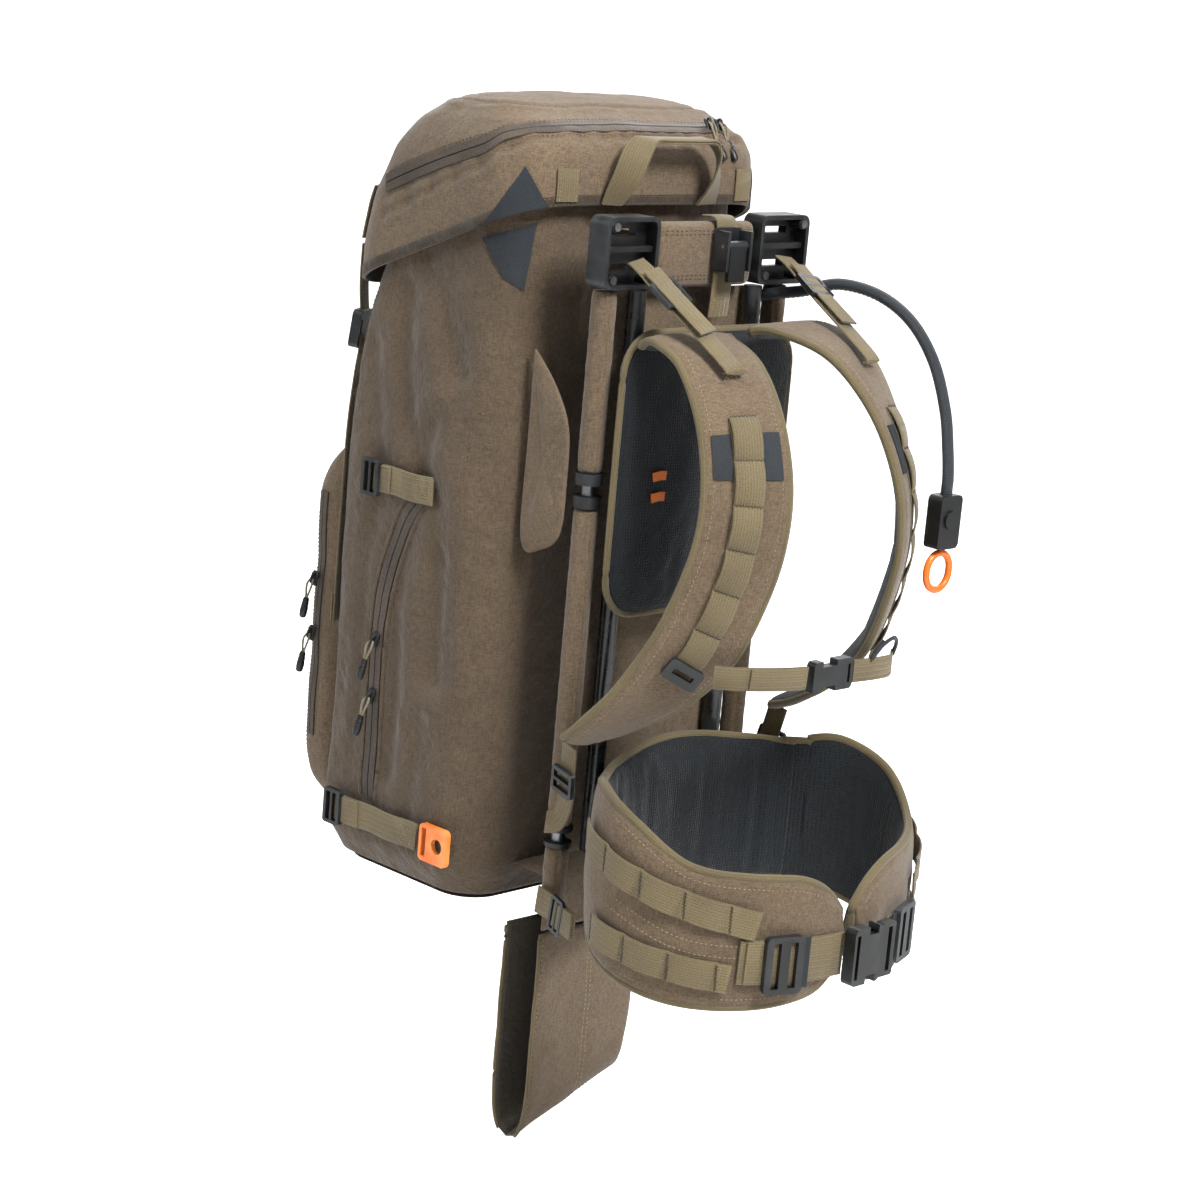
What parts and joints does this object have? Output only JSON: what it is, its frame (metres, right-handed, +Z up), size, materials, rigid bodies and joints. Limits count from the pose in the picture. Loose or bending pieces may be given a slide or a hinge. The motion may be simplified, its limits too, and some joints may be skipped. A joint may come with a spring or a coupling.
{
  "type": "hunting backpack",
  "caption": "Tall hunting backpack on an external tube frame, with a hinged lid, front pocket, padded harness, hip belt, quick-release cord handle and a drop-down rifle boot.",
  "frame": {"origin": "hang point, at the middle of the underside of the haul loop's top bar", "axes": "-Y towards the wearer, +Y towards the front pocket, +X to the wearer's right, +Z up"},
  "size_m": [0.3426, 0.61, 0.911],
  "materials": {
    "pack_fabric": "heathered weave",
    "webbing": "ribbed webbing",
    "air_mesh": "spacer mesh",
    "zip_tape": "coated tape",
    "moulded_black": "satin",
    "orange_plastic": "satin",
    "steel": "brushed",
    "black_tube": "satin",
    "conduit_sleeve": "braided sleeve"
  },
  "bodies": {
    "pack": {"main_bag": "pack_fabric", "front_pocket": "pack_fabric", "base_panel": "pack_fabric", "lid_buckles": "moulded_black", "lid_tails": "webbing", "side_zip": "zip_tape", "pocket_zip": "zip_tape", "channel_wings": "pack_fabric", "compression_straps": "webbing", "triglides": "moulded_black", "post_sleeves": "pack_fabric", "post_collars": "moulded_black", "post_pins": "steel", "crossbar": "pack_fabric", "bracket_left": "moulded_black", "bracket_right": "moulded_black", "screws": "steel", "frame_stays": "black_tube", "frame_panel": "pack_fabric", "back_pad": "air_mesh", "shoulder_strap_left": "pack_fabric", "shoulder_strap_right": "pack_fabric", "daisy_webbing": "webbing", "load_lifters": "webbing", "lower_webbing": "webbing", "ladder_locks": "moulded_black", "sternum_webbing": "webbing", "sternum_sliders": "moulded_black", "sternum_buckle": "moulded_black", "lumbar_pad": "air_mesh", "stabiliser_straps": "webbing", "release_conduit": "conduit_sleeve", "handle_housing": "moulded_black", "cam_buckle": "moulded_black", "cam_pin": "steel", "centre_strap": "webbing"},
    "lid": {"lid_hood": "pack_fabric", "lid_zip": "zip_tape", "lid_slider_parked": "moulded_black", "lid_straps": "webbing"},
    "lid_slider": {"lid_slider_moving": "moulded_black"},
    "haul_loop": {"haul_loop": "webbing"},
    "cam_lever": {"cam_lever": "moulded_black"},
    "pull_ring": {"pull_ring": "orange_plastic"},
    "belt_left": {"belt_wing_left": "pack_fabric", "molle_left": "webbing", "belt_webbing_left": "webbing", "belt_ladder_left": "moulded_black", "buckle_female": "moulded_black"},
    "belt_right": {"belt_wing_right": "pack_fabric", "molle_right": "webbing", "belt_webbing_right": "webbing", "belt_ladder_right": "moulded_black"},
    "belt_male": {"buckle_male": "moulded_black"},
    "side_slider_upper": {"side_slider_upper": "moulded_black"},
    "side_slider_lower": {"side_slider_lower": "moulded_black"},
    "pocket_slider_upper": {"pocket_slider_upper": "moulded_black"},
    "pocket_slider_lower": {"pocket_slider_lower": "moulded_black"},
    "boot": {"boot_pocket": "pack_fabric"},
    "clip": {"orange_clip": "orange_plastic"}
  },
  "joints": [
    {"name": "lid_hinge", "type": "hinge", "parent": "pack", "child": "lid", "pos_m": [0, 0.0215, -0.054], "axis": [1, 0, 0], "range_deg": [0, 65]},
    {"name": "lid_zip_slide", "type": "slide", "parent": "lid", "child": "lid_slider", "axis": [-1, 0, 0], "range_m": [0, 0.15]},
    {"name": "haul_loop_fold", "type": "hinge", "parent": "pack", "child": "haul_loop", "pos_m": [0, 0.0165, -0.056], "axis": [1, 0, 0], "range_deg": [0, 52]},
    {"name": "cam_lever_hinge", "type": "hinge", "parent": "pack", "child": "cam_lever", "pos_m": [0.016, -0.061, -0.082], "axis": [-1, 0, 0], "range_deg": [0, 100]},
    {"name": "ring_pull", "type": "slide", "parent": "pack", "child": "pull_ring", "axis": [0, 0, -1], "range_m": [0, 0.025], "stiffness_N_per_m": 400, "springref_m": -0.005},
    {"name": "belt_left_hinge", "type": "hinge", "parent": "pack", "child": "belt_left", "pos_m": [-0.12778, -0.09861, -0.608], "axis": [0, 0, -1], "range_deg": [0, 45]},
    {"name": "belt_right_hinge", "type": "hinge", "parent": "pack", "child": "belt_right", "pos_m": [0.12778, -0.09861, -0.608], "axis": [0, 0, 1], "range_deg": [0, 45]},
    {"name": "buckle_release", "type": "slide", "parent": "belt_right", "child": "belt_male", "axis": [1, 0, 0], "range_m": [0, 0.012]},
    {"name": "side_zip_upper_slide", "type": "slide", "parent": "pack", "child": "side_slider_upper", "axis": [0, 0, 1], "range_m": [0, 0.05]},
    {"name": "side_zip_lower_slide", "type": "slide", "parent": "pack", "child": "side_slider_lower", "axis": [0, 0, -1], "range_m": [0, 0.045]},
    {"name": "pocket_zip_upper_slide", "type": "slide", "parent": "pack", "child": "pocket_slider_upper", "axis": [0, 0, 1], "range_m": [0, 0.07]},
    {"name": "pocket_zip_lower_slide", "type": "slide", "parent": "pack", "child": "pocket_slider_lower", "axis": [0, 0, -1], "range_m": [0, 0.06]},
    {"name": "boot_fold", "type": "hinge", "parent": "pack", "child": "boot", "pos_m": [0, 0.021, -0.688], "axis": [1, 0, 0], "range_deg": [0, 80]},
    {"name": "clip_swing", "type": "hinge", "parent": "pack", "child": "clip", "pos_m": [-0.1544, 0.094, -0.626], "axis": [0, 0, -1], "range_deg": [0, 70]}
  ],
  "couplings": [
    {"joint": "haul_loop_fold", "follows": "lid_hinge", "ratio": 0.8}
  ]
}
